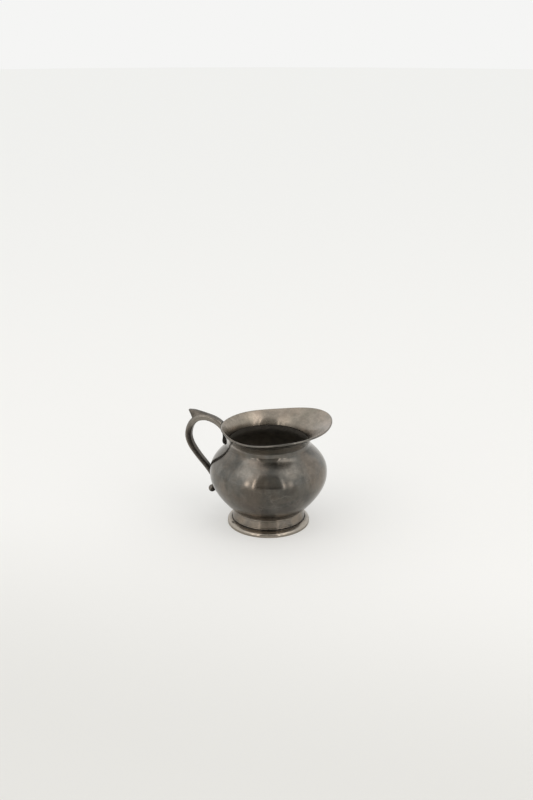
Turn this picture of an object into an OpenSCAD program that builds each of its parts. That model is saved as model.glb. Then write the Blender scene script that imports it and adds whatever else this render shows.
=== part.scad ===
// Small bellied jug of turned pewter: two cast body halves, a flared collar that
// widens into the spout, a stepped foot and a scroll handle, all joined with solder.
// Millimetres. The origin is on the jug's axis in the plane it stands on, +Z is up,
// +X points to the spout and the handle lies along -X.

/* [Body] */
// Widest diameter of the belly
belly_d = 90; // [82:0.5:98]
// Height of the belly's widest ring, where the two halves are joined
belly_z = 42.4; // [39:0.2:46]
// Outer diameter of the throat, where the collar starts
throat_d = 63.6; // [58:0.2:68]
// Height of the throat
throat_z = 65.5; // [62:0.1:71]
// Thickness of the turned wall
wall = 1.6; // [1.4:0.1:2.2]
// Diameter of the bowl where it meets the foot
bowl_foot_d = 56.4; // [50:0.2:62]

/* [Collar] */
// Radius of the lip at the spout's tip
spout_r = 48.2; // [44:0.1:52]
// Radius of the lip a tenth of a turn from the spout's tip
spout_side_r = 49.2; // [45:0.1:53]
// Radius of the lip a fifth of a turn from the spout's tip
lip_fore_r = 45.1; // [42:0.1:48]
// Radius of the lip three tenths of a turn from the spout's tip
lip_aft_r = 40; // [38:0.1:43]
// Radius of the lip four tenths of a turn from the spout's tip
lip_heel_r = 37.2; // [36:0.1:40]
// Radius of the lip at the back, under the handle
lip_back_r = 37.3; // [36:0.1:40]
// Height of the lip above the throat at the spout's tip
spout_h = 17.5; // [14:0.1:20]
// Height of the lip a tenth of a turn from the spout's tip
spout_side_h = 17.8; // [14:0.1:20]
// Height of the lip a fifth of a turn from the spout's tip
lip_fore_h = 14.9; // [12:0.1:17]
// Height of the lip three tenths of a turn from the spout's tip
lip_aft_h = 12.5; // [11:0.1:14]
// Height of the lip four tenths of a turn from the spout's tip
lip_heel_h = 13.1; // [11:0.1:14]
// Height of the lip at the back
lip_back_h = 12.6; // [11:0.1:14]
// Thickness of the lip's rounded edge
lip_t = 1.3; // [1:0.1:1.6]

/* [Foot] */
// How far the flange that the jug stands on reaches beyond the bowl's foot
flange_out = 3.9; // [3:0.1:7]
// Height of the flange's outer edge
flange_edge_h = 1.7; // [1.4:0.1:2.1]
// Height of the flange where it meets the groove
flange_h = 2.3; // [2.2:0.1:3]
// How deep the groove between flange and band is cut in from the bowl's foot
groove_in = 0.9; // [0.6:0.1:1.2]
// Height of the groove
groove_h = 2.5; // [1.6:0.1:4]
// How far the band stands out from the bowl's foot above the groove
band_low_out = 0.3; // [0.1:0.1:0.8]
// How far the band stands out from the bowl's foot at its top
band_top_out = 1; // [0.5:0.1:2]
// How far the band's face is drawn in from the bowl's foot, just under the top reed
band_waist_in = 0.9; // [0.5:0.1:1]
// Height of the band
band_h = 7.2; // [6.4:0.1:9]
// Width of the seats between the bowl's foot and the bore that centres band and flange
seat_w = 1.8; // [1.6:0.1:2.2]
// Thickness of the disc that closes the bowl
disc_t = 1.6; // [1.2:0.1:2]

/* [Handle] */
// How far the handle stands out beyond the belly
handle_out = 22.4; // [19:0.2:26]
// Width of the handle, across the jug
handle_w = 6.6; // [5.6:0.1:8]
// Thickness of the handle at its outermost bend
handle_t = 5; // [4.4:0.1:6]
// Height at which the lower arm meets the belly
heel_z = 34; // [32:0.2:36]
// Height of the spur that the thumb rests on, above the arm
spur_h = 6.6; // [4:0.1:8]
// Diameter of the ball at the end of the tail
ball_d = 5.8; // [5:0.1:7]

/* [Joints] */
// Thickness of a solder film between two flat faces
film = 0.15; // [0.1:0.05:0.25]
// Clearance round a spigot in its seat
fit = 0.1; // [0.05:0.05:0.15]
// Depth of the half-lap between two body pieces
lap_h = 2; // [1.5:0.1:2.5]
// Thickness of the solder bed between handle and body
bed = 0.3; // [0.24:0.02:0.4]

/* [Hidden] */

// How finely curves are stepped
curve_steps = 24;
flare_steps = 12;
edge_steps = 6;
turn_steps = 72;
$fn = 96;

// Derived radii and heights of the body
belly_r = belly_d / 2;
throat_r = throat_d / 2;
bowl_foot_r = bowl_foot_d / 2;
lap_t = wall / 2;
lip_back_z = throat_z + lip_back_h;

// Derived radii and heights of the foot
flange_r = bowl_foot_r + flange_out;
groove_r = bowl_foot_r - groove_in;
band_low_r = bowl_foot_r + band_low_out;
band_waist_r = bowl_foot_r - band_waist_in;
band_top_r = bowl_foot_r + band_top_out;
bore_r = bowl_foot_r - seat_w;
hub_z = flange_h + groove_h;
band_z = hub_z + film;
band_top_z = band_z + band_h;
bowl_z = band_top_z + film;

// Small sizes of the foot: edge roundings, groove fillet and the band's two reeds
edge_r = 0.6;
cove_r = 0.8;
reed_r = 0.45;
rest_w = 3.4;
recess_h = 1.1;

// Spigots in the foot, and the ledge that the disc is let in against
tongue_t = 1.3;
tongue_h = 1.5;
spigot_t = 1.4;
spigot_h = 3.6;
ledge_w = 1.2;
disc_inset = 0.2;
spigot_r = bore_r - fit;
disc_r = spigot_r - spigot_t - fit;
mouth_r = disc_r - ledge_w;
disc_z = bowl_z - spigot_h + disc_inset;
ledge_z = disc_z + disc_t + film;
floor_step = 1;

// Clearance between a solder bed and the faces it joins
bed_skin = 0.04;
// How far a cutting body runs past what it cuts
overrun = 12;

// Pull of the body curves at their ends, as shares of the height they span
foot_pull_share = 0.83;
bowl_pull_share = 0.096;
shoulder_pull_share = 0.55;
neck_pull_share = 0.2;
// Angle at which the bowl leaves the foot
foot_angle = 45;
// How late the collar turns outwards: 1 is a cone, and more is a trumpet
flare_power = 2;

// Lip radii and heights at equal steps of the half turn from spout to handle
lip_radii = [spout_r, spout_side_r, lip_fore_r, lip_aft_r, lip_heel_r, lip_back_r];
lip_heights = [spout_h, spout_side_h, lip_fore_h, lip_aft_h, lip_heel_h, lip_back_h];

// Centre line of the handle: share of the reach outwards, share of the height from heel to lip
path_shares = [
    [-0.16, 0.6], [-0.185, 0.65], [-0.175, 0.76], [-0.11, 0.862], [0, 0.942], [0.149, 1.008],
    [0.32, 1.05], [0.46, 1.063], [0.6, 1.046], [0.695, 1.008], [0.814, 0.921], [0.889, 0.8],
    [0.907, 0.669], [0.842, 0.535], [0.717, 0.415], [0.554, 0.297], [0.375, 0.186], [0.203, 0.079],
    [0.065, -0.023], [-0.01, -0.122], [0, -0.206], [0.047, -0.288]
];
// Width and thickness at the same stations, as shares of the handle's own
section_shares = [
    [0.45, 0.35], [0.88, 1], [0.92, 1.02], [0.98, 1.02], [1.02, 1], [1, 1],
    [0.96, 1], [0.98, 1.04], [1, 1.06], [1, 1.02], [1, 1.02], [1, 1.02],
    [1, 1], [0.98, 0.96], [0.95, 0.9], [0.93, 0.86], [0.91, 0.84], [0.9, 0.84],
    [0.88, 0.84], [0.78, 0.74], [0.66, 0.6], [0.6, 0.56]
];
// Station up to which the rings of the upright lug turn from level to square with its line
lug_end_station = 2;
// Stations between which the thumb spur rises, peaks and falls back, and how late it rises
spur_root_station = 7;
spur_tip_station = 9;
spur_notch_station = 9.33;
spur_power = 1.4;
// How square the section is: on a ball, and on the arm's inner and outer side
roundness = 2;
inner_squareness = 4;
outer_squareness = 2.4;
// The sweep's steps between stations and round a section, and the step that gives its direction
sweep_steps = 3;
section_steps = 20;
way_step = 0.05;
// Steps of a solder bed from its middle to an end and to a side
bed_rows = 12;
bed_steps = 4;
// How square the outline of a solder bed is, and the share of its height at which it ends
bed_squareness = 4;
bed_end_share = 0.99;
// Where the arm runs into the ball, and the angles at which the ball's rings start and end
ball_share = 2 / 3;
ball_start_angle = -40;
ball_end_angle = 80;
// How far the lower solder bed reaches below and above the heel
heel_drop = 3;
heel_rise = 3.4;

// A point on a cubic curve with four control points, and the curve's direction there
function bezier(p, t) =
    pow(1 - t, 3) * p[0] + 3 * t * pow(1 - t, 2) * p[1] + 3 * t * t * (1 - t) * p[2] + pow(t, 3) * p[3];
function bezier_way(p, t) =
    pow(1 - t, 2) * (p[1] - p[0]) + 2 * t * (1 - t) * (p[2] - p[1]) + t * t * (p[3] - p[2]);

// The right-hand normal of a direction, which points out of the jug on a curve that climbs
function outward(way) = [way[1], -way[0]] / norm(way);

// A stepped curve, moved out by a distance along its normals
function stepped(p, out) =
    [for (i = [0 : curve_steps])
        let (t = i / curve_steps)
        bezier(p, t) + out * outward(bezier_way(p, t))];

// Points on an arc about a centre
function arc(centre, r, from, to) =
    [for (i = [0 : edge_steps])
        let (a = from + (to - from) * i / edge_steps)
        centre + r * [cos(a), sin(a)]];

// Control points of the two body curves, from foot to belly and from belly to throat
bowl_rise = belly_z - bowl_z;
bowl_curve = [
    [bowl_foot_r, bowl_z],
    [bowl_foot_r, bowl_z] + foot_pull_share * bowl_rise * [cos(foot_angle), sin(foot_angle)],
    [belly_r, belly_z - bowl_pull_share * bowl_rise],
    [belly_r, belly_z]
];
shoulder_z = belly_z + film;
neck_z = throat_z - film;
shoulder_rise = neck_z - shoulder_z;
shoulder_curve = [
    [belly_r, shoulder_z],
    [belly_r, shoulder_z + shoulder_pull_share * shoulder_rise],
    [throat_r, neck_z - neck_pull_share * shoulder_rise],
    [throat_r, neck_z]
];

// Value at an angle of the cosine series that passes through equally spaced values
function series_term(v, k) =
    let (n = len(v) - 1)
    2 / n * (k == 0 || k == n ? 0.5 : 1)
    * [for (j = [0 : n]) (j == 0 || j == n ? 0.5 : 1) * cos(180 * j * k / n)] * v;
function series(v, angle) =
    [for (k = [0 : len(v) - 1]) cos(k * angle)] * [for (k = [0 : len(v) - 1]) series_term(v, k)];

// Radial section of the collar's outer face: how far it spreads and climbs at an angle,
// so that the rounded lip above it ends at the lip's own radius and height
function spread(angle) = series(lip_radii, angle) - lip_t / 2 - throat_r;
function climb(angle) = series(lip_heights, angle) - lip_t;
function flare(angle, s) = [throat_r + spread(angle) * pow(s, flare_power), throat_z + climb(angle) * s];
function flare_way(angle, s) = [spread(angle) * flare_power * pow(s, flare_power - 1), climb(angle)];
function flare_out(angle, s, out) = flare(angle, s) + out * outward(flare_way(angle, s));
function flare_wall(s) = wall + (lip_t - wall) * s;

// Closed outline of the collar at an angle: up the outside, round the lip, down the inside
function collar_outline(angle) =
    let (
        inner_start = (lap_h + film) / climb(angle),
        way = flare_way(angle, 1) / norm(flare_way(angle, 1)),
        lip_centre = flare_out(angle, 1, -lip_t / 2)
    )
    concat(
        [for (i = [0 : flare_steps]) flare(angle, i / flare_steps)],
        [for (i = [1 : edge_steps - 1])
            let (a = 180 * i / edge_steps)
            lip_centre + lip_t / 2 * (cos(a) * outward(way) + sin(a) * way)],
        [for (i = [flare_steps : -1 : 0])
            let (s = inner_start + (1 - inner_start) * i / flare_steps)
            flare_out(angle, s, -flare_wall(s))],
        [[throat_r - lap_t, throat_z + lap_h + film], [throat_r - lap_t, throat_z]]
    );

// A radial section placed at its angle round the axis
function placed(outline, angle) = [for (p = outline) [p[0] * cos(angle), p[0] * sin(angle), p[1]]];

// Triangles that join the rings of a grid, closed round the axis and round the outline
function ring_faces(rings, count) =
    [for (i = [0 : rings - 1]) for (j = [0 : count - 1])
        let (
            a = i * count + j,
            b = i * count + (j + 1) % count,
            c = ((i + 1) % rings) * count + (j + 1) % count,
            d = ((i + 1) % rings) * count + j
        )
        each [[a, b, c], [a, c, d]]];

module turned_about_axis(outlines) {
    polyhedron(
        points = [for (o = outlines) each o],
        faces = ring_faces(len(outlines), len(outlines[0]))
    );
}

module ring(r_in, r_out, z, h) {
    translate([0, 0, z])
        difference() {
            cylinder(r = r_out, h = h);
            translate([0, 0, -overrun])
                cylinder(r = r_in, h = h + 2 * overrun);
        }
}

module base_flange() {
    edge_x = flange_r - edge_r;
    cove = [groove_r + cove_r, flange_h + cove_r];
    color("silver")
        rotate_extrude()
            polygon(concat(
                [[spigot_r - tongue_t, recess_h], [flange_r - edge_r - rest_w, 0]],
                arc([edge_x, edge_r], edge_r, -90, 0),
                arc([edge_x, flange_edge_h - edge_r], edge_r, 0, 90),
                arc(cove, cove_r, 270, 180),
                [
                    [groove_r, hub_z],
                    [spigot_r, hub_z],
                    [spigot_r, hub_z + tongue_h],
                    [spigot_r - tongue_t, hub_z + tongue_h]
                ]
            ));
}

module flange_solder() {
    color("darkgray")
        ring(bore_r, groove_r, hub_z, film);
}

// A ring drawn in to a waist under its top edge, with a fine reed along each edge
module foot_band() {
    color("silver")
        rotate_extrude()
            union() {
                polygon([
                    [bore_r, band_z],
                    [band_low_r, band_z],
                    [band_low_r, band_z + 2 * reed_r],
                    [band_waist_r, band_top_z - 3 * reed_r],
                    [band_top_r - reed_r, band_top_z - 2 * reed_r],
                    [band_top_r - reed_r, band_top_z],
                    [bore_r, band_top_z]
                ]);
                translate([band_low_r, band_z + reed_r])
                    circle(r = reed_r);
                translate([band_top_r - reed_r, band_top_z - reed_r])
                    circle(r = reed_r);
            }
}

module foot_solder() {
    color("darkgray")
        ring(bore_r, bowl_foot_r, band_top_z, film);
}

// Lower half of the body, with a spigot into the foot and a ledge for the disc
module lower_bowl() {
    inside = stepped(bowl_curve, -wall);
    lap_z = belly_z - lap_h;
    color("slategray")
        rotate_extrude()
            polygon(concat(
                [
                    [mouth_r, ledge_z],
                    [spigot_r - spigot_t, ledge_z],
                    [spigot_r - spigot_t, bowl_z - spigot_h],
                    [spigot_r, bowl_z - spigot_h],
                    [spigot_r, bowl_z]
                ],
                stepped(bowl_curve, 0),
                [[belly_r - lap_t, belly_z], [belly_r - lap_t, lap_z], [belly_r - wall, lap_z]],
                [for (i = [curve_steps : -1 : 0]) if (inside[i][1] < lap_z - floor_step) inside[i]],
                [[mouth_r, ledge_z + floor_step]]
            ));
}

module disc_solder() {
    color("darkgray")
        ring(mouth_r, disc_r, disc_z + disc_t, film);
}

module base_disc() {
    color("slategray")
        translate([0, 0, disc_z])
            cylinder(r = disc_r, h = disc_t);
}

module belly_solder() {
    color("darkgray")
        ring(belly_r - lap_t, belly_r, belly_z, film);
}

// Upper half of the body, lapped inside the lower half and inside the collar
module upper_bowl() {
    inside = stepped(shoulder_curve, -wall);
    color("slategray")
        rotate_extrude()
            polygon(concat(
                [
                    [belly_r - wall, belly_z - lap_h + film],
                    [belly_r - lap_t - fit, belly_z - lap_h + film],
                    [belly_r - lap_t - fit, shoulder_z]
                ],
                stepped(shoulder_curve, 0),
                [
                    [throat_r - lap_t - fit, neck_z],
                    [throat_r - lap_t - fit, throat_z + lap_h],
                    [throat_r - wall, throat_z + lap_h]
                ],
                [for (i = [curve_steps : -1 : 0]) inside[i]]
            ));
}

module neck_solder() {
    color("darkgray")
        ring(throat_r - lap_t, throat_r, neck_z, film);
}

module collar() {
    color("lightslategray")
        turned_about_axis([for (i = [0 : turn_steps - 1])
            let (angle = 360 * i / turn_steps)
            placed(collar_outline(angle), angle)]);
}

// Radius of the jug's outer face at a height and an angle round the axis
body_profile = [for (p = concat(stepped(bowl_curve, 0), stepped(shoulder_curve, 0))) [p[1], p[0]]];
function jug_radius(z, angle) =
    z > throat_z
    ? flare(angle, min((z - throat_z) / climb(angle), 1))[0]
    : lookup(z, body_profile);

// A point of a soldered piece, moved straight outwards where it would lie within a gap of the jug
function seated(p, gap) =
    let (
        r = norm([p[0], p[1]]),
        least = jug_radius(p[2], atan2(p[1], p[0])) + gap
    )
    r < least ? [p[0] * least / r, p[1] * least / r, p[2]] : p;

// The handle's centre line, between the belly and the lip
reach = belly_r + handle_out;
function path_point(share) =
    let (near = belly_r - wall + (lip_back_r - belly_r + wall) * share[1])
    [near + (reach - near) * share[0], heel_z + (lip_back_z - heel_z) * share[1]];
path = [for (s = path_shares) path_point(s)];
sections = [for (s = section_shares) [s[0] * handle_w, s[1] * handle_t]];

// Value between the stations of a list, on a smooth curve through all of them, and its direction
function smooth(list, at) =
    let (
        last = len(list) - 1,
        i = min(floor(at), last - 1),
        t = at - i,
        a = list[max(i - 1, 0)],
        b = list[i],
        c = list[i + 1],
        d = list[min(i + 2, last)]
    )
    b + t / 2 * (c - a + t * (2 * a - 5 * b + 4 * c - d + t * (3 * b - a - 3 * c + d)));
function path_way(at) =
    let (
        last = len(path) - 1,
        along = smooth(path, min(at + way_step, last)) - smooth(path, max(at - way_step, 0)),
        level = max(1 - at / lug_end_station, 0),
        way = (1 - level) * along / norm(along) + [0, level]
    )
    way / norm(way);

// How far the thumb spur rises from the arm: slowly up to its tip, then straight back to the notch
function crest(at) =
    let (
        risen = (at - spur_root_station) / (spur_tip_station - spur_root_station),
        left = (spur_notch_station - at) / (spur_notch_station - spur_tip_station)
    )
    spur_h * max(min(pow(max(risen, 0), spur_power), left), 0);

// A signed power, which squares off a circle into a superellipse
function squared(v, power) = sign(v) * pow(abs(v), 2 / power);

// A ring of the handle about a centre, from one side round to the same side again:
// its first axis points out of the finger gap
function handle_ring(centre, way, half_in, half_out, half_w, square_in, square_out) =
    [for (i = [0 : section_steps - 1])
        let (
            a = 90 + 360 * (i + 0.5) / section_steps,
            out = cos(a) > 0,
            power = out ? square_out : square_in,
            u = squared(cos(a), power) * (out ? half_out : half_in),
            place = centre + u * [-way[1], way[0]]
        )
        [-place[0], -half_w * squared(sin(a), power), place[1]]];
function arm_ring(at) =
    let (size = smooth(sections, at) / 2)
    handle_ring(
        smooth(path, at), path_way(at),
        size[1], size[1] + crest(at), size[0], inner_squareness, outer_squareness
    );

// The tail runs into a ball: rings of a sphere about the path's last point
ball_r = ball_d / 2;
function ball_ring(angle) =
    let (
        last = len(path) - 1,
        way = path_way(last),
        r = ball_r * cos(angle)
    )
    handle_ring(path[last] + ball_r * sin(angle) * way, way, r, r, r, roundness, roundness);

// Triangles that join the rings of a sweep and close its ends with strips
function sweep_faces(rings, count) =
    let (last = (rings - 1) * count)
    concat(
        [for (i = [0 : rings - 2]) for (j = [0 : count - 1])
            let (a = i * count + j, b = i * count + (j + 1) % count)
            each [[a, b, b + count], [a, b + count, a + count]]],
        [for (face = cap_faces(count)) [face[0], face[2], face[1]]],
        [for (face = cap_faces(count)) [for (corner = face) last + corner]]
    );
function cap_faces(count) =
    [for (j = [0 : count / 2 - 2])
        let (far = count - 1 - j)
        each [[j, j + 1, far], [j + 1, far - 1, far]]];

module handle() {
    neck_at = len(path) - 1 - ball_share;
    rings = concat(
        [for (i = [0 : round(neck_at * sweep_steps)]) arm_ring(i / sweep_steps)],
        [for (i = [0 : edge_steps])
            ball_ring(ball_start_angle + (ball_end_angle - ball_start_angle) * i / edge_steps)]
    );
    color("dimgray")
        polyhedron(
            points = [for (r = rings) for (p = r) seated(p, bed)],
            faces = sweep_faces(len(rings), section_steps)
        );
}

// A bed of solder that follows the jug's face under the handle, with rounded ends
module solder_bed(low, high, half_w) {
    rows = [for (i = [-bed_rows : bed_rows])
        let (
            t = bed_end_share * i / bed_rows,
            z = (low + high) / 2 + (high - low) / 2 * t,
            w = half_w * pow(1 - pow(abs(t), bed_squareness), 1 / bed_squareness)
        )
        concat(
            [for (j = [-bed_steps : bed_steps]) bed_point(z, w * j / bed_steps, bed - bed_skin)],
            [for (j = [-bed_steps : bed_steps]) bed_point(z, -w * j / bed_steps, bed_skin)]
        )];
    polyhedron(
        points = [for (row = rows) each row],
        faces = sweep_faces(len(rows), len(rows[0]))
    );
}
function bed_point(z, y, skin) =
    let (
        angle = 180 - asin(y / jug_radius(z, 180)),
        r = jug_radius(z, angle) + skin
    )
    [r * cos(angle), r * sin(angle), z];

module upper_handle_solder() {
    color("darkgray")
        solder_bed(path[0][1], lip_back_z - lip_t, handle_w / 2);
}

module lower_handle_solder() {
    color("darkgray")
        solder_bed(heel_z - heel_drop, heel_z + heel_rise, handle_w / 2);
}

base_flange();
flange_solder();
foot_band();
foot_solder();
lower_bowl();
disc_solder();
base_disc();
belly_solder();
upper_bowl();
neck_solder();
collar();
handle();
upper_handle_solder();
lower_handle_solder();
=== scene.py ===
"""Pewter cream jug: dressed meshes, finishes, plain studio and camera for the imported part.

Sizes are in millimetres and become metres where a mesh is made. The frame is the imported
part's: the origin on the body's axis in the plane it stands on, +Z up, +X to the spout.
"""

from __future__ import annotations

import logging
import math
from dataclasses import dataclass, field
from enum import Enum
from typing import Callable, Sequence

import bmesh
import bpy
from mathutils import Matrix, Vector

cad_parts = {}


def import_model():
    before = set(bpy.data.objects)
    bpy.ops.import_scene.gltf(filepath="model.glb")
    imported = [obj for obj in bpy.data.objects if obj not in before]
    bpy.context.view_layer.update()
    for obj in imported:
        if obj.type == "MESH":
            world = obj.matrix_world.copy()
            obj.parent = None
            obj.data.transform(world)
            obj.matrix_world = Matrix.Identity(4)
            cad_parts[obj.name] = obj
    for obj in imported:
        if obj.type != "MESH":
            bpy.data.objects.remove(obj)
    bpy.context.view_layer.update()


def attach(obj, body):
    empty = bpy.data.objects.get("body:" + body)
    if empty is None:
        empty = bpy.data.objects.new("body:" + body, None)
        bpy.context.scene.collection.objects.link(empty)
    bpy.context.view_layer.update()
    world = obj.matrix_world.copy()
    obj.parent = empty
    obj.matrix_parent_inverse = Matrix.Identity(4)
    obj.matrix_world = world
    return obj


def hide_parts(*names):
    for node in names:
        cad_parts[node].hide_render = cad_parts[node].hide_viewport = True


Pair = tuple[float, float]
Place = tuple[float, float, float]
Object = bpy.types.Object
Mesh = bmesh.types.BMesh
Face = bmesh.types.BMFace
Socket = bpy.types.NodeSocket
# Gives painted shade, a darker painted reflection, to add to a vertex at a place in millimetres.
ShadePatch = Callable[[Vector], float]

LOG = logging.getLogger("cream_jug")
MM = 0.001
BODY = "root"
# Vertex layers: the metal's wear with painted light and shade on it, and the vertex's number in its outline
# or ring.
WEAR_AND_SHADING, NUMBER = "wear_and_shading", "number"
TURNS = 192
SHARP_ANGLE = math.radians(38)
WELD = MM * 1e-4
# Thickness of a film of solder.
FILM = 0.15


def linear(code: str) -> tuple[float, float, float, float]:
    """Turns an sRGB hex colour to linear light.

    Args:
        code: six hex digits, such as "77716b".

    Returns:
        Red, green, blue and an alpha of 1.
    """
    shares = [int(code[i : i + 2], 16) / 255 for i in (0, 2, 4)]
    light = [s / 12.92 if s <= 0.04045 else ((s + 0.055) / 1.055) ** 2.4 for s in shares]
    return (light[0], light[1], light[2], 1.0)


class Nodes:
    """Adds nodes to the tree of a material or of a lamp."""

    def __init__(self, tree: bpy.types.NodeTree) -> None:
        """Takes the tree that the nodes go into."""
        self.tree = tree

    def add(
        self,
        kind: str,
        values: dict[str | int, object] | None = None,
        links: dict[str | int, Socket] | None = None,
        out: str | int = 0,
        **settings: object,
    ) -> Socket:
        """Adds one node with its settings, socket values and links.

        Args:
            kind: the node's type name, without the "ShaderNode" that all of them begin with.
            values: input socket to value.
            links: input socket to the output socket that feeds it.
            out: the output socket that is wanted.
            **settings: properties of the node itself.

        Returns:
            The output socket.
        """
        node = self.tree.nodes.new("ShaderNode" + kind)
        for key, value in settings.items():
            setattr(node, key, value)
        for socket, value in (values or {}).items():
            node.inputs[socket].default_value = value
        for socket, source in (links or {}).items():
            self.tree.links.new(source, node.inputs[socket])
        return node.outputs[out]

    def surface(self, shader: Socket) -> None:
        """Links a shader to the material's output."""
        self.tree.links.new(shader, self.tree.nodes["Material Output"].inputs["Surface"])


def blank_material(name: str) -> bpy.types.Material:
    """Makes a material whose node tree holds its output only.

    Args:
        name: its name.

    Returns:
        The material.
    """
    material = bpy.data.materials.new(name)
    material.use_nodes = True
    nodes = material.node_tree.nodes
    nodes.remove(nodes["Principled BSDF"])
    return material


def in_scene(name: str, data: bpy.types.ID) -> Object:
    """Puts a mesh, a lamp or a camera in the scene.

    Args:
        name: name of the object.
        data: what it shows.

    Returns:
        The object.
    """
    made = bpy.data.objects.new(name, data)
    bpy.context.scene.collection.objects.link(made)
    return made


def eased(low: float, high: float, value: float) -> float:
    """Share from 0 at the low value to 1 at the high one, with soft ends."""
    t = min(max((value - low) / (high - low), 0.0), 1.0)
    return t * t * (3 - 2 * t)


def mix(start: float, end: float, share: float) -> float:
    """Value at a share of the way from one value to another."""
    return start + (end - start) * share


def off_front(place: Vector, azimuth: float) -> float:
    """Degrees round the axis from a place to an azimuth, which counts from the front."""
    return abs(math.degrees(math.atan2(place.x, -place.y)) - azimuth)


def cubic(control: Sequence[Pair], t: float) -> Pair:
    """Radius and height of a cubic curve with four control points, at t from 0 to 1."""
    shares = ((1 - t) ** 3, 3 * t * (1 - t) ** 2, 3 * t * t * (1 - t), t**3)
    return (sum(s * p[0] for s, p in zip(shares, control)), sum(s * p[1] for s, p in zip(shares, control)))


def cubic_normal(control: Sequence[Pair], t: float) -> Pair:
    """Unit normal of a cubic curve, to the right of its direction.

    Args:
        control: the four control points.
        t: how far along the curve, from 0 to 1.

    Returns:
        Radial and vertical part of the normal.
    """
    shares = ((1 - t) ** 2, 2 * t * (1 - t), t * t)
    way = [sum(s * (b[k] - a[k]) for s, a, b in zip(shares, control, control[1:])) for k in (0, 1)]
    length = math.hypot(*way)
    return (way[1] / length, -way[0] / length)


@dataclass
class Outline:
    """A lathe outline in the plane of the axis, as radius and height in millimetres."""

    points: list[Pair] = field(default_factory=list)

    def line(self, *points: Pair) -> Outline:
        """Adds corner points and returns the outline."""
        self.points.extend(points)
        return self

    def curve(self, control: Sequence[Pair], steps: int, shift: float = 0.0, back: bool = False) -> Outline:
        """Adds a cubic curve.

        Args:
            control: the four control points.
            steps: number of steps along it.
            shift: distance by which it is moved along its normals.
            back: whether it is followed from its end to its start.

        Returns:
            The outline.
        """
        for i in range(steps, -1, -1) if back else range(steps + 1):
            place, normal = cubic(control, i / steps), cubic_normal(control, i / steps)
            self.points.append((place[0] + shift * normal[0], place[1] + shift * normal[1]))
        return self

    def arc(self, centre: Pair, radius: float, start: float, end: float, steps: int = 8) -> Outline:
        """Adds a circular arc.

        Args:
            centre: its centre.
            radius: its radius.
            start: angle of its first point, in degrees.
            end: angle of its last point, in degrees.
            steps: number of steps along it.

        Returns:
            The outline.
        """
        for i in range(steps + 1):
            angle = math.radians(start + (end - start) * i / steps)
            self.points.append((centre[0] + radius * math.cos(angle), centre[1] + radius * math.sin(angle)))
        return self

    def softened(self, radius: float, steps: int = 3, least: float = 25.0, most: float = 0.4) -> Outline:
        """Rounds the corners of the closed outline, as wear and polishing do.

        Args:
            radius: how far a rounding reaches along each side of its corner.
            steps: number of steps round a corner.
            least: smallest turn in degrees that counts as a corner.
            most: largest share of a side that a rounding takes up.

        Returns:
            A new outline.
        """
        made: list[Pair] = []
        for i, point in enumerate(self.points):
            place = Vector(point)
            back = Vector(self.points[i - 1]) - place
            ahead = Vector(self.points[(i + 1) % len(self.points)]) - place
            if math.degrees(math.pi - back.angle(ahead)) < least:
                made.append(point)
                continue
            start, end = (
                place + side.normalized() * min(radius, most * side.length) for side in (back, ahead)
            )
            for k in range(steps + 1):
                t = k / steps
                spot = (1 - t) ** 2 * start + 2 * t * (1 - t) * place + t * t * end
                made.append((spot.x, spot.y))
        return Outline(made)


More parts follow.
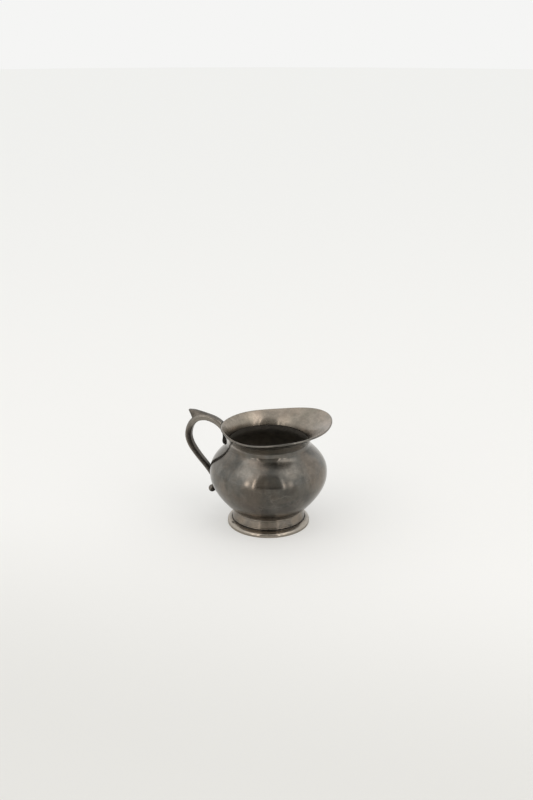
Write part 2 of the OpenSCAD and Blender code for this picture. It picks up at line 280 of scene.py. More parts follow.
class Mesher:
    """Turns outlines and rings into closed, smoothly shaded pieces."""

    @staticmethod
    def spin(
        outline: Sequence[Pair],
        wear_and_shading: Sequence[float] | None = None,
        closed: bool = True,
        shape: Callable[[int, float], Pair] | None = None,
        shade_patch: ShadePatch | None = None,
    ) -> Mesh:
        """Spins an outline round the axis.

        Args:
            outline: points of the outline, in millimetres.
            wear_and_shading: the metal's wear and its painted light and shade at each point, from -1,
                tarnished and painted shade, to 1, bare and painted light.
            closed: whether its last point joins its first.
            shape: gives the radius and height of an outline's point at an angle, where the
                piece isn't round.
            shade_patch: gives the painted shade, a darker painted reflection, that is added at a place in
                millimetres.

        Returns:
            The mesh, in metres.
        """
        mesh = bmesh.new()
        wear_and_shading_layer, number = mesh.verts.layers.float.new(WEAR_AND_SHADING), mesh.verts.layers.int.new(NUMBER)
        row = []
        for i, (radius, height) in enumerate(outline):
            vertex = mesh.verts.new((radius * MM, 0.0, height * MM))
            vertex[wear_and_shading_layer], vertex[number] = wear_and_shading[i] if wear_and_shading else 0.0, i
            row.append(vertex)
        pairs = list(zip(row, row[1:])) + ([(row[-1], row[0])] if closed else [])
        edges = [mesh.edges.new(pair) for pair in pairs]
        bmesh.ops.spin(
            mesh,
            geom=row + edges,
            cent=(0.0, 0.0, 0.0),
            axis=(0.0, 0.0, 1.0),
            angle=math.tau,
            steps=TURNS,
            use_merge=True,
            use_duplicate=False,
        )
        bmesh.ops.remove_doubles(mesh, verts=mesh.verts, dist=WELD)
        for vertex in mesh.verts:
            if shape is not None:
                angle = math.atan2(vertex.co.y, vertex.co.x)
                radius, height = shape(vertex[number], angle)
                vertex.co = Vector((math.cos(angle) * radius, math.sin(angle) * radius, height)) * MM
            if shade_patch is not None:
                vertex[wear_and_shading_layer] += shade_patch(vertex.co / MM)
        return mesh

    @staticmethod
    def faces_axis(face: Face) -> bool:
        """Whether a face looks towards the axis, as the inside of a vessel does."""
        centre = face.calc_center_median()
        return face.normal.x * centre.x + face.normal.y * centre.y < 0

    @staticmethod
    def faces_up(face: Face) -> bool:
        """Whether a face looks upwards."""
        return face.normal.z > 0.5

    @staticmethod
    def piece(
        mesh: Mesh,
        name: str,
        nodes: Sequence[str],
        finish: PewterFinish,
        lining: PewterFinish | None = None,
        lined: Callable[[Face], bool] | None = None,
    ) -> Object:
        """Closes a mesh into a finished piece that stands for its nodes.

        Args:
            mesh: the mesh, which is freed.
            name: the piece's name.
            nodes: the nodes that it stands for.
            finish: what it is dressed in.
            lining: second finish, for the faces that the test picks.
            lined: test for a face that gets the lining, else those that face the axis.

        Returns:
            The piece.
        """
        bmesh.ops.recalc_face_normals(mesh, faces=mesh.faces)
        test = lined or Mesher.faces_axis
        for face in mesh.faces:
            face.smooth = True
            face.material_index = int(lining is not None and test(face))
        for edge in mesh.edges:
            edge.smooth = edge.calc_face_angle(0.0) < SHARP_ANGLE
        data = bpy.data.meshes.new(name)
        mesh.to_mesh(data)
        mesh.free()
        piece = in_scene(name, data)
        for coat in (finish, lining):
            if coat is not None:
                data.materials.append(coat.material())
        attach(piece, BODY)
        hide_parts(*nodes)
        LOG.info("%s: %d faces, for %s", name, len(data.polygons), ", ".join(nodes))
        return piece

    @staticmethod
    def film(
        name: str,
        nodes: Sequence[str],
        radii: Pair,
        low: float,
        finish: PewterFinish,
        shade_patch: ShadePatch | None = None,
    ) -> Object:
        """Builds a film of solder: a thin ring between two turned faces.

        Args:
            name: the piece's name.
            nodes: the nodes that it stands for.
            radii: inner and outer radius.
            low: height of its lower face.
            finish: what it is dressed in.
            shade_patch: painted shade that is added, as in spin.

        Returns:
            The piece.
        """
        (inner, outer), top = radii, low + FILM
        outline = [(inner, low), (outer, low), (outer, top), (inner, top)]
        return Mesher.piece(Mesher.spin(outline, shade_patch=shade_patch), name, nodes, finish)


class Marks(Enum):
    """The way in which a pewter surface was worked."""

    TURNED = "fine lines round the axis from the lathe"
    FILED = "cast skin that was filed and scraped by hand"
    WIPED = "solder that was wiped while it set"


# How far filing and wiping draw their marks out along each axis; less is longer.
CROSSED = {Marks.FILED: (0.5, 0.12, 0.5), Marks.WIPED: (0.4, 0.4, 0.4)}


@dataclass(frozen=True)
class PewterFinish:
    """Old pewter: a grey tin alloy whose polish has gone soft under a thin brown patina.

    Attributes:
        name: name of the material.
        slot: the record's material slot; not used.
        marks: how the surface was worked.
        dark: colour of the deeper patina.
        plain: main colour.
        warm: colour of the browner clouds.
        tarnish_and_shade_tone: colour of tarnish and of the painted shade in recesses, under overhangs and
            inside.
        bare_and_lit: colour of bare metal, where handling keeps it bare and where light is painted on.
        cloud_mm: size of the patina's clouds.
        line_mm: spacing of the tool's lines, drawn coarser than real ones, which don't show.
        gloss: roughness of the polished and of the dull spots.
        stretch: how far the tool's lines draw a highlight out across them, from 0 to 1.
        metallic: share of bare metal against dull oxide.
        line_depth_mm: depth of the tool's lines.
        dent_depth_mm: depth of the broad unevenness of hand work.
        scratch_depth_mm: depth of the scratches.
        cloud_sets: place and relative size of the deeper, browner and blotched clouds.
        cloud_span: values of their noise between which a cloud fades in.
        drift: how far the turned lines wander across the piece.
        scratch_sets: turn and squeeze of each family of scratches.
        scratch_w: width of a scratch, as a share of its cell.
        scratch_shine: share of bare metal in a scratch.
    """

    name: str
    slot: str
    marks: Marks
    dark: str
    plain: str
    warm: str
    tarnish_and_shade_tone: str = "2b2926"
    bare_and_lit: str = "a59f96"
    cloud_mm: float = 16.0
    line_mm: float = 0.5
    gloss: Pair = (0.14, 0.24)
    stretch: float = 0.0
    metallic: float = 1.0
    line_depth_mm: float = 0.0008
    dent_depth_mm: float = 0.04
    scratch_depth_mm: float = 0.0005
    cloud_sets: tuple[tuple[Place, float], ...] = (
        ((0.0, 0.0, 0.0), 1.0), ((37.0, 11.0, 5.0), 1.5), ((5.0, 23.0, 41.0), 0.35)
    )
    cloud_span: Pair = (0.36, 0.66)
    drift: float = 0.02
    scratch_sets: tuple[tuple[Place, Place], ...] = (
        ((0.3, 0.5, 0.2), (0.05, 0.4, 0.4)), ((1.1, 0.2, 0.9), (0.4, 0.05, 0.4))
    )
    scratch_w: float = 0.03
    scratch_shine: float = 0.25

    def material(self) -> bpy.types.Material:
        """The finish's material, made once and then shared."""
        made = bpy.data.materials.get(self.name)
        return made or PewterShader(self).build()


class PewterShader(Nodes):
    """Builds a finish's material, mixed from noises and shares between 0 and 1."""

    def __init__(self, finish: PewterFinish) -> None:
        """Makes the layers that colour, roughness and relief are mixed from.

        Args:
            finish: the finish that is built.
        """
        self.finish, self.material = finish, blank_material(finish.name)
        super().__init__(self.material.node_tree)
        self.place = self.add("TexCoord", out="Object")
        self.mm = self.add("Mapping", {"Scale": (1 / MM, 1 / MM, 1 / MM)}, {"Vector": self.place})
        fine = {"Scale": 0.8, "Detail": 5.0, "Roughness": 0.65}
        self.grain = self.add("TexNoise", fine, {"Vector": self.mm})
        self.deeper, self.browner, self.blotches = (self.cloud(*each) for each in finish.cloud_sets)
        self.lines, self.scratches = self.tool_lines(), self.thin_scratches()
        self.tarnish, self.bare_and_lit = self.wear_and_shading_shares()

    def cloud(self, offset: Place, size: float) -> Socket:
        """One of the noises that stain the patina.

        Args:
            offset: its place in the noise, in millimetres.
            size: its size, where 1 is that of the finish's clouds.

        Returns:
            How far it stains, from 0 to 1.
        """
        moved = self.add("Mapping", {"Location": offset, "Scale": (1.0, 1.0, 0.7)}, {"Vector": self.mm})
        scale = 1 / (size * self.finish.cloud_mm)
        values = {"Scale": scale, "Detail": 5.0, "Roughness": 0.6, "Distortion": 0.5}
        noise = self.add("TexNoise", values, {"Vector": moved})
        span = {"From Min": self.finish.cloud_span[0], "From Max": self.finish.cloud_span[1]}
        return self.add("MapRange", span, {"Value": noise}, interpolation_type="SMOOTHSTEP")

    def wear_and_shading_shares(self) -> list[Socket]:
        """Where the piece's own attribute of wear and painted light and shade asks for tarnish and painted
        shade, and for bare metal and painted light.

        Returns:
            The share of tarnish and painted shade and the share of bare metal and painted light, with grain
            to break their borders up.
        """
        wear_and_shading = self.add("Attribute", out="Fac", attribute_name=WEAR_AND_SHADING)
        values = {"From Min": 0.3, "From Max": 0.7, "To Min": 0.75, "To Max": 1.15}
        ragged = self.add("MapRange", values, {"Value": self.grain})
        scaled = self.add("Math", links={0: wear_and_shading, 1: ragged}, operation="MULTIPLY")
        clamped = {"operation": "MULTIPLY", "use_clamp": True}
        return [self.add("Math", {1: sign}, {0: scaled}, **clamped) for sign in (-1.0, 1.0)]

    def tool_lines(self) -> Socket:
        """Fine lines: rings round the axis where the piece was turned, else short and crossed.

        Returns:
            A noise from 0 to 1.
        """
        finish = self.finish
        if finish.marks is Marks.TURNED:
            flat = self.add("VectorMath", {1: (1.0, 1.0, 0.0)}, {0: self.mm}, operation="MULTIPLY")
            radius = self.add("VectorMath", links={0: flat}, out="Value", operation="LENGTH")
            axes = self.add("SeparateXYZ", links={"Vector": self.mm}).node.outputs
            drift = self.add("Math", {1: finish.drift}, {0: axes["X"]}, operation="MULTIPLY")
            course = self.add("CombineXYZ", links={"X": radius, "Y": drift, "Z": axes["Z"]})
        else:
            course = self.add("Mapping", {"Scale": CROSSED[finish.marks]}, {"Vector": self.mm})
        values = {"Scale": 1 / finish.line_mm, "Detail": 3.0, "Roughness": 0.7}
        return self.add("TexNoise", values, {"Vector": course})

    def thin_scratches(self) -> Socket:
        """Sparse thin scratches of handling, as the edges of stretched cells.

        Returns:
            A share from 0, none, to 1, in a scratch.
        """
        families = {}
        for number, (turn, squeeze) in enumerate(self.finish.scratch_sets):
            turned = self.add("Mapping", {"Rotation": turn, "Scale": squeeze}, {"Vector": self.mm})
            cells = self.add("TexVoronoi", {"Scale": 0.5}, {"Vector": turned}, feature="DISTANCE_TO_EDGE")
            values = {"From Max": self.finish.scratch_w, "To Min": 1.0, "To Max": 0.0}
            families[number] = self.add("MapRange", values, {"Value": cells})
        both = self.add("Math", links=families, operation="MAXIMUM")
        patches = self.add("TexNoise", {"Scale": 0.06, "Detail": 2.0}, {"Vector": self.mm})
        where = self.add("MapRange", {"From Min": 0.5, "From Max": 0.7}, {"Value": patches})
        return self.add("Math", links={0: both, 1: where}, operation="MULTIPLY")

    def colour(self) -> Socket:
        """Patina colour: clouds of three tones with grain in them, tarnish and painted shade, bare spots and
        painted light, scratches.

        Returns:
            The colour.
        """
        finish = self.finish
        toned = self.add("RGB")
        toned.default_value = linear(finish.plain)
        for share, tone in ((self.deeper, finish.dark), (self.browner, finish.warm)):
            toned = self.add("Mix", {7: linear(tone)}, {"Factor": share, 6: toned}, 2, data_type="RGBA")
        for source, reach in ((self.blotches, 0.06), (self.grain, 0.14), (self.lines, 0.1)):
            values = {"To Min": 1 - 2 * reach, "To Max": 1 + 2 * reach}
            level = self.add("MapRange", values, {"Value": source})
            toned = self.add("VectorMath", links={0: toned, "Scale": level}, operation="SCALE")
        shine = self.add("Math", {1: finish.scratch_shine}, {0: self.scratches}, operation="MULTIPLY")
        # Tarnish with painted shade, then bare metal with painted light, then the scratches' shine.
        for share, tone in ((self.tarnish, finish.tarnish_and_shade_tone), (self.bare_and_lit, finish.bare_and_lit), (shine, finish.bare_and_lit)):
            toned = self.add("Mix", {7: linear(tone)}, {"Factor": share, 6: toned}, 2, data_type="RGBA")
        return toned

    def roughness(self) -> Socket:
        """Roughness: duller in the deeper patina and where tarnish and painted shade lie, with lines and
        grain in it.

        Returns:
            The roughness.
        """
        low, high = self.finish.gloss
        rough = self.add("MapRange", {"To Min": low, "To Max": high}, {"Value": self.deeper})
        added = ((self.lines, 0.04), (self.grain, 0.06), (self.scratches, 0.1), (self.tarnish, 0.15))
        for source, share in added:
            rough = self.add("Math", {1: share}, {0: source, 2: rough}, operation="MULTIPLY_ADD")
        return rough

    def relief(self) -> Socket:
        """Relief: broad dents of hand work under fine lines and scratches.

        Returns:
            The normal.
        """
        finish, links = self.finish, {}
        dents = self.add("TexNoise", {"Scale": 0.07, "Detail": 1.0, "Roughness": 0.4}, {"Vector": self.mm})
        for height, depth, cut in (
            (dents, finish.dent_depth_mm, False),
            (self.lines, finish.line_depth_mm, False),
            (self.scratches, finish.scratch_depth_mm, True),
        ):
            links["Height"] = height
            links["Normal"] = self.add("Bump", {"Distance": depth * MM}, links, invert=cut)
        return links["Normal"]

    def way_round(self) -> Socket:
        """Direction round the axis, in which the lathe's lines run.

        Returns:
            The direction in the scene.
        """
        way = self.add("VectorMath", {0: (0.0, 0.0, 1.0)}, {1: self.place}, operation="CROSS_PRODUCT")
        spaces = {"vector_type": "VECTOR", "convert_from": "OBJECT", "convert_to": "WORLD"}
        return self.add("VectorTransform", links={"Vector": way}, **spaces)

    def build(self) -> bpy.types.Material:
        """Mixes the layers into the surface.

        Returns:
            The material.
        """
        stretch = self.finish.stretch
        links = {"Base Color": self.colour(), "Roughness": self.roughness(), "Normal": self.relief()}
        if stretch:
            links["Tangent"] = self.way_round()
        values = {
            "Metallic": self.finish.metallic,
            "Anisotropic": stretch,
            "Anisotropic Rotation": 0.25 if stretch else 0.0,
        }
        self.surface(self.add("BsdfPrincipled", values, links))
        return self.material


# Turned pewter, burnished on the lathe: soft mirror with faint level lines and brown clouds.
TURNED = PewterFinish(
    "Turned burnished pewter", "turned_pewter", Marks.TURNED, "5a5955", "72706b", "776f66",
    gloss=(0.08, 0.14), stretch=0.75, line_depth_mm=0.001,
)
# Pewter brushed round: lighter and warmer than the turned pewter, its highlights drawn out.
BRUSHED = PewterFinish(
    "Brushed pewter of the collar", "formed_pewter", Marks.TURNED, "8f887c", "968e83", "9d9184",
    tarnish_and_shade_tone="3a3630", gloss=(0.135, 0.165), stretch=0.97, line_depth_mm=0.008,
)
# Pewter turned with a fine tool and not burnished: streaks that stand across its lines.
TOOLED = PewterFinish(
    "Finely turned pewter of the foot", "turned_pewter", Marks.TURNED, "77726b", "868078", "92877a",
    cloud_mm=9.0, line_mm=0.35, bare_and_lit="b9b2a7", gloss=(0.09, 0.13), stretch=0.75, line_depth_mm=0.005,
)
# Inside of the bowl, never polished: a deep grey oxide that has no highlights left.
LINING = PewterFinish(
    "Oxidised pewter of the inside", "turned_pewter", Marks.TURNED, "65615a", "736f66", "766f64",
    gloss=(0.5, 0.62), metallic=0.4,
)
# Cast pewter, filed and scraped: uneven, with a deeper patina from hands.
CAST = PewterFinish(
    "Filed cast pewter", "cast_pewter", Marks.FILED, "5e5a55", "6d6963", "736c63",
    gloss=(0.2, 0.32), dent_depth_mm=0.06,
)
# Wiped tin solder: dull and a little lighter than the pewter it joins.
SOLDER = PewterFinish(
    "Wiped tin solder", "solder", Marks.WIPED, "5f5c57", "6b6863", "6e6a64", gloss=(0.34, 0.5)
)


@dataclass
class Body:
    """The two body halves and the film of solder between them."""

    belly_r: float = 45.0
    belly_z: float = 42.4
    throat_r: float = 31.8
    throat_z: float = 65.5
    wall: float = 1.6
    foot_r: float = 27.4
    foot_swell: float = 0.8
    bowl_z: float = 12.3
    lap_h: float = 2.0
    fit: float = 0.1
    spigot_r: float = 26.3
    spigot_t: float = 1.4
    spigot_h: float = 3.6
    mouth_r: float = 23.6
    ledge_z: float = 10.65
    ledge_t: float = 1.0
    steps: int = 48
    # How far the curves' inner control points lie along them, from below upwards.
    bowl_pulls: Pair = (0.83, 0.096)
    shoulder_pulls: Pair = (0.55, 0.2)
    # Strength and reach of the painted shade at the neck, inside the throat and below the collar, and of the
    # painted light low on the bowl that lifts its dark reflection of the foot.
    neck_inside_shade: Pair = (0.6, 9.0)
    neck_outside_shade: Pair = (0.2, 4.0)
    foot_painted_light: Pair = (0.5, 7.0)
    # The patch of painted shade, a darker painted reflection low on the belly's front: strength, azimuth,
    # angles and heights over which it fades.
    shade_patch_share: float = 0.4
    shade_patch_azimuth: float = 21.0
    shade_patch_width: Pair = (14.0, 50.0)
    shade_patch_low: Pair = (17.0, 26.0)
    shade_patch_high: Pair = (43.0, 48.0)

    def bowl_curve(self) -> list[Pair]:
        """Control points of the outer face from the foot to the belly.

        Returns:
            Radius and height of each.
        """
        rise = self.belly_z - self.bowl_z
        pull = self.bowl_pulls[0] * rise * math.sqrt(0.5)
        return [
            (self.foot_r, self.bowl_z),
            (self.foot_r + self.foot_swell + pull, self.bowl_z + pull),
            (self.belly_r, self.belly_z - self.bowl_pulls[1] * rise),
            (self.belly_r, self.belly_z),
        ]

    def shoulder_curve(self) -> list[Pair]:
        """Control points of the outer face from the belly to the throat.

        Returns:
            Radius and height of each.
        """
        start, end = self.belly_z + FILM, self.throat_z - FILM
        rise = end - start
        return [
            (self.belly_r, start),
            (self.belly_r, start + self.shoulder_pulls[0] * rise),
            (self.throat_r, end - self.shoulder_pulls[1] * rise),
            (self.throat_r, end),
        ]

    def radius(self, height: float) -> float:
        """Outer radius of the body at a height, found by halving the curve 30 times.

        Args:
            height: height in millimetres.

        Returns:
            The radius in millimetres.
        """
        control = self.bowl_curve() if height < self.belly_z else self.shoulder_curve()
        low, high = 0.0, 1.0
        for _ in range(30):
            middle = (low + high) / 2
            if cubic(control, middle)[1] < height:
                low = middle
            else:
                high = middle
        return cubic(control, low)[0]

    def wear_and_shading(self, outline: Sequence[Pair]) -> list[float]:
        """Painted light and shade of each point: painted shade gathers at the neck, and painted light lies
        low on the bowl by the foot.

        Args:
            outline: points of an outline.

        Returns:
            A value from -1 to 1 for each.
        """
        made = []
        for radius, height in outline:
            inside = radius < self.radius(min(height, self.throat_z - FILM)) - self.wall / 2
            # Painted shade inside the throat and below the collar.
            painted_shade, reach = self.neck_inside_shade if inside else self.neck_outside_shade
            neck = painted_shade * eased(self.throat_z - reach, self.throat_z, height)
            # Painted light low on the bowl, which lifts its dark reflection of the foot.
            strength, reach = self.foot_painted_light
            made.append(strength * (1 - eased(self.bowl_z, self.bowl_z + reach, height)) - neck)
        return made

    def shade_patch(self, place: Vector) -> float:
        """Painted shade at a place: a darker painted reflection low on the belly, right of its front.

        Args:
            place: the place, in millimetres.

        Returns:
            What is added to the wear and painted light and shade.
        """
        level = eased(*self.shade_patch_low, place.z) * (1 - eased(*self.shade_patch_high, place.z))
        away = off_front(place, self.shade_patch_azimuth)
        return -self.shade_patch_share * level * (1 - eased(*self.shade_patch_width, away))

    def lower_bowl(self) -> Object:
        """Builds the lower half, with its spigot and ledge.

        Returns:
            The piece.
        """
        lap_r, lap_z = self.belly_r - self.wall / 2, self.belly_z - self.lap_h
        inside = Outline().curve(self.bowl_curve(), self.steps, -self.wall, back=True)
        outline = Outline().line(
            (self.mouth_r, self.ledge_z),
            (self.spigot_r - self.spigot_t, self.ledge_z),
            (self.spigot_r - self.spigot_t, self.bowl_z - self.spigot_h),
            (self.spigot_r, self.bowl_z - self.spigot_h),
            (self.spigot_r, self.bowl_z),
        )
        outline.curve(self.bowl_curve(), self.steps)
        outline.line((lap_r, self.belly_z), (lap_r, lap_z), (self.belly_r - self.wall, lap_z))
        low, high = self.ledge_z + self.ledge_t, lap_z - self.ledge_t
        outline.line(*[point for point in inside.points if low < point[1] < high])
        outline.line((self.mouth_r, low))
        mesh = Mesher.spin(outline.points, self.wear_and_shading(outline.points), shade_patch=self.shade_patch)
        return Mesher.piece(mesh, "lower_bowl_turned", ["lower_bowl"], TURNED, LINING)

    def upper_bowl(self) -> Object:
        """Builds the upper half, with its laps.

        Returns:
            The piece.
        """
        inner, lap = self.belly_r - self.wall, self.belly_r - self.wall / 2 - self.fit
        neck, neck_lap = self.throat_r - self.wall, self.throat_r - self.wall / 2 - self.fit
        low, top = self.belly_z - self.lap_h + FILM, self.throat_z + self.lap_h + FILM
        outline = Outline().line((inner, low), (lap, low), (lap, self.belly_z + FILM))
        outline.curve(self.shoulder_curve(), self.steps)
        outline.line((neck_lap, self.throat_z - FILM), (neck_lap, top), (neck, top))
        outline.curve(self.shoulder_curve(), self.steps, -self.wall, back=True)
        mesh = Mesher.spin(outline.points, self.wear_and_shading(outline.points), shade_patch=self.shade_patch)
        return Mesher.piece(mesh, "upper_bowl_turned", ["upper_bowl"], TURNED, LINING)

    def build(self) -> list[Object]:
        """Builds the body's pieces.

        Returns:
            The pieces from below upwards.
        """
        belly, neck = ((radius - self.wall / 2, radius) for radius in (self.belly_r, self.throat_r))
        # The films of solder take the turned finish and the belly's painted shade.
        low, high, finish_and_shade_patch = self.belly_z, self.throat_z - FILM, (TURNED, self.shade_patch)
        return [
            self.lower_bowl(),
            Mesher.film("belly_solder_burnished", ["belly_solder"], belly, low, *finish_and_shade_patch),
            self.upper_bowl(),
            Mesher.film("neck_solder_burnished", ["neck_solder"], neck, high, *finish_and_shade_patch),
        ]


@dataclass
class Collar:
    """The flared collar: a trumpet whose lip widens and rises into the spout."""

    body: Body
    lip_radii: tuple[float, ...] = (48.2, 49.2, 45.1, 40.0, 37.2, 37.3)
    lip_heights: tuple[float, ...] = (17.5, 17.8, 14.9, 12.5, 13.1, 12.6)
    lip_t: float = 1.3
    power: float = 2.0
    steps: int = 40
    edge_steps: int = 8
    # Shares of the way up over which the outside turns from painted shade at the throat to painted light,
    # and back to plain under the lip, and over which the painted shade inside clears.
    waist: Pair = (0.1, 0.35)
    brim: Pair = (0.5, 1.0)
    throat: Pair = (0.0, 0.4)

    @staticmethod
    def series(values: Sequence[float], angle: float) -> float:
        """Value at an angle of the cosine series through equally spaced values.

        Args:
            values: the values from the spout to the handle.
            angle: angle from the spout, in radians.

        Returns:
            The value.
        """
        count, last, total = range(len(values)), len(values) - 1, 0.0
        halved = [0.5 if k in (0, last) else 1.0 for k in count]
        for k in count:
            term = sum(h * v * math.cos(math.pi * j * k / last) for j, h, v in zip(count, halved, values))
            total += halved[k] * 2 / last * term * math.cos(k * angle)
        return total

    def climb(self, angle: float) -> float:
        """Height of the outer face's upper end above the throat, at an angle."""
        return self.series(self.lip_heights, angle) - self.lip_t

    def flare(self, angle: float, share: float, shift: float = 0.0) -> Pair:
        """Point of the outer face at an angle, or of a face that runs beside it.

        Args:
            angle: angle from the spout, in radians.
            share: how far up the collar, from 0 to 1.
            shift: distance outwards along the normal.

        Returns:
            Radius and height.
        """
        spread = self.series(self.lip_radii, angle) - self.lip_t / 2 - self.body.throat_r
        climb = self.climb(angle)
        way = (spread * self.power * share ** (self.power - 1), climb)
        length = math.hypot(*way)
        return (
            self.body.throat_r + spread * share**self.power + shift * way[1] / length,
            self.body.throat_z + climb * share - shift * way[0] / length,
        )

    def outline(self, angle: float) -> list[Pair]:
        """Closed outline at an angle: up the outside, round the lip and down the inside.

        Args:
            angle: angle from the spout, in radians.

        Returns:
            Its points, as many at every angle.
        """
        body = self.body
        lap, top = body.throat_r - body.wall / 2, body.lap_h + FILM
        start = top / self.climb(angle)
        points = [self.flare(angle, i / self.steps) for i in range(self.steps + 1)]
        outer, inner = Vector(points[-1]), Vector(self.flare(angle, 1.0, -self.lip_t))
        centre = (outer + inner) / 2
        for i in range(1, self.edge_steps):
            arm = Matrix.Rotation(math.pi * i / self.edge_steps, 2) @ (outer - centre)
            points.append((centre.x + arm.x, centre.y + arm.y))
        for i in range(self.steps, -1, -1):
            share = mix(start, 1, i / self.steps)
            points.append(self.flare(angle, share, -mix(body.wall, self.lip_t, share)))
        return points + [(lap, body.throat_z + top), (lap, body.throat_z)]

    def wear_and_shading(self) -> list[float]:
        """Wear and painted light and shade of each point of the outline: the lip worn a little bare with a
        painted highlight, painted light and shade outside, painted shade inside the throat.

        Returns:
            A value from -1 to 1 for each.
        """
        up = [i / self.steps for i in range(self.steps + 1)]
        # Outside: painted shade at the throat, painted light up the waist, plain under the lip.
        outside = [eased(*self.waist, share) - 0.8 * eased(*self.brim, share) - 0.2 for share in up]
        # The lip: worn a little bare, with a painted highlight.
        lip = [0.1] * (self.edge_steps - 1)
        # Inside: painted shade down in the throat, and on the two points of the lap.
        inside = [-0.35 * (1 - eased(*self.throat, share)) for share in reversed(up)]
        return outside[:-1] + [0.0] + lip + inside + [-1.0, -1.0]

    def build(self) -> list[Object]:
        """Builds the collar.

        Returns:
            A list that holds it.
        """
        cache: dict[int, list[Pair]] = {}

        def shape(number: int, angle: float) -> Pair:
            """Place of an outline's point at an angle.

            Args:
                number: the point's number.
                angle: angle from the spout, in radians.

            Returns:
                Radius and height.
            """
            key = round(angle / math.tau * TURNS)
            if key not in cache:
                cache[key] = self.outline(angle)
            return cache[key][number]

        mesh = Mesher.spin(self.outline(0.0), self.wear_and_shading(), shape=shape)
        return [Mesher.piece(mesh, "collar_brushed", ["collar"], TURNED, BRUSHED)]


@dataclass
class Foot:
    """The stepped foot: flange, groove, waisted band with two reeds, and the disc inside."""

    body: Body
    flange_r: float = 31.8
    edge_h: float = 1.3
    edge_r: float = 0.4
    rest_w: float = 3.4
    recess_h: float = 1.1
    crest: Pair = (28.5, 4.2)
    # How far the shoulder's bulge lies inside the rim and below the crest.
    shoulder: Pair = (1.2, 0.9)
    shoulder_steps: int = 16
    softening: float = 0.15
    groove_r: float = 27.0
    groove_z: float = 3.3
    hub_z: float = 4.8
    cove_r: float = 0.6
    tongue_t: float = 1.3
    tongue_h: float = 1.5
    bore_r: float = 26.4
    band_low_r: float = 27.5
    band_waist_r: float = 26.6
    band_top_r: float = 27.4
    band_z: float = 4.95
    band_top_z: float = 12.15
    band_steps: int = 12
    band_flare: float = 0.25
    reed_r: float = 0.4
    reed_gap: float = 2.1
    solder_r: float = 27.3
    disc_r: float = 24.8
    disc_z: float = 8.9
    disc_t: float = 1.6
    disc_rings: int = 8
    # The band's painted shade, a darker painted reflection on its front: strength, azimuth and angles over
    # which it fades.
    shade_patch_share: float = 0.22
    shade_patch_azimuth: float = 34.0
    shade_patch_width: Pair = (14.0, 36.0)

    def flange_wear_and_shading(self, place: Pair) -> float:
        """Painted light and shade of a point of the flange: painted shade in the groove, darker on its
        underside, lighter towards the rim.

        Args:
            place: radius and height of the point.

        Returns:
            A value from -1 to 1.
        """
        (radius, height), crest = place, self.crest[0]
        # Painted shade in the groove.
        painted_shade = 1 - eased(crest - 0.6, crest + 0.2, radius)
        return 0.6 * eased(crest, crest + 2.4, radius) - 0.7 * painted_shade - 0.7 * (height < 0.05)

    def shade_patch(self, place: Vector) -> float:
        """Painted shade that is added to the band: a darker painted reflection towards the front and the
        spout.
        """
        return -self.shade_patch_share * (1 - eased(*self.shade_patch_width, off_front(place, self.shade_patch_azimuth)))

    def band_wear_and_shading(self, place: Pair) -> float:
        """Wear and painted light and shade of a point of the band: its reeds worn bare with a painted
        highlight, painted shade in the angles beside them.

        Args:
            place: radius and height of the point.

        Returns:
            A value from -1 to 1.
        """
        edge = min(place[1] - self.band_z, self.band_top_z - place[1])
        reed = 2 * self.reed_r
        # Reeds worn bare with a painted highlight, painted shade beside them.
        return 0.3 if edge < reed else -0.5 * (1 - eased(reed, 2.2 * reed, edge))

    def flange(self) -> Object:
        """Builds the flange with its groove and spigot.

        Returns:
            The piece.
        """
        rim, edge_x, spigot = self.flange_r, self.flange_r - self.edge_r, self.body.spigot_r
        tongue, tongue_z = spigot - self.tongue_t, self.hub_z + self.tongue_h
        outline = Outline().line((tongue, self.recess_h), (edge_x - self.rest_w, 0.0))
        outline.arc((edge_x, self.edge_r), self.edge_r, -90, 0)
        bulge = (rim - self.shoulder[0], self.crest[1] - self.shoulder[1])
        outline.curve([(rim, self.edge_h), (rim, 2 * self.edge_h), bulge, self.crest], self.shoulder_steps)
        outline.arc((self.groove_r + self.cove_r, self.groove_z + self.cove_r), self.cove_r, 270, 180)
        outline.line((self.groove_r, self.hub_z), (spigot, self.hub_z))
        outline.line((spigot, tongue_z), (tongue, tongue_z))
        points = outline.softened(self.softening).points
        mesh = Mesher.spin(points, [self.flange_wear_and_shading(place) for place in points])
        return Mesher.piece(mesh, "base_flange_turned", ["base_flange"], TOOLED)

    def band(self) -> Object:
        """Builds the band with a reed along each edge.

        Returns:
            The piece.
        """
        low, top, reed = self.band_low_r, self.band_top_r, self.reed_r
        outline = Outline().line((self.bore_r, self.band_z), (low, self.band_z))
        outline.arc((low, self.band_z + reed), reed, -80, 75)
        gap = self.reed_gap * reed
        start, end = (low + self.band_flare, self.band_z + gap), (self.band_waist_r, self.band_top_z - gap)
        shares = [i / self.band_steps for i in range(self.band_steps + 1)]
        outline.line(*[(mix(start[0], end[0], share), mix(start[1], end[1], share)) for share in shares])
        outline.arc((top - reed, self.band_top_z - reed), reed, -75, 80)
        outline.line((self.bore_r, self.band_top_z))
        wear_and_shading = [self.band_wear_and_shading(place) for place in outline.points]
        mesh = Mesher.spin(outline.points, wear_and_shading, shade_patch=self.shade_patch)
        return Mesher.piece(mesh, "foot_band_turned", ["foot_band"], TOOLED)

    def disc(self) -> Object:
        """Builds the disc that closes the bowl.

        Returns:
            The piece.
        """
        radii = [self.disc_r * i / self.disc_rings for i in range(self.disc_rings + 1)]
        outline = [(radius, self.disc_z) for radius in radii]
        outline += [(radius, self.disc_z + self.disc_t) for radius in reversed(radii)]
        mesh = Mesher.spin(outline, closed=False)
        return Mesher.piece(mesh, "base_disc_turned", ["base_disc"], TURNED, LINING, Mesher.faces_up)

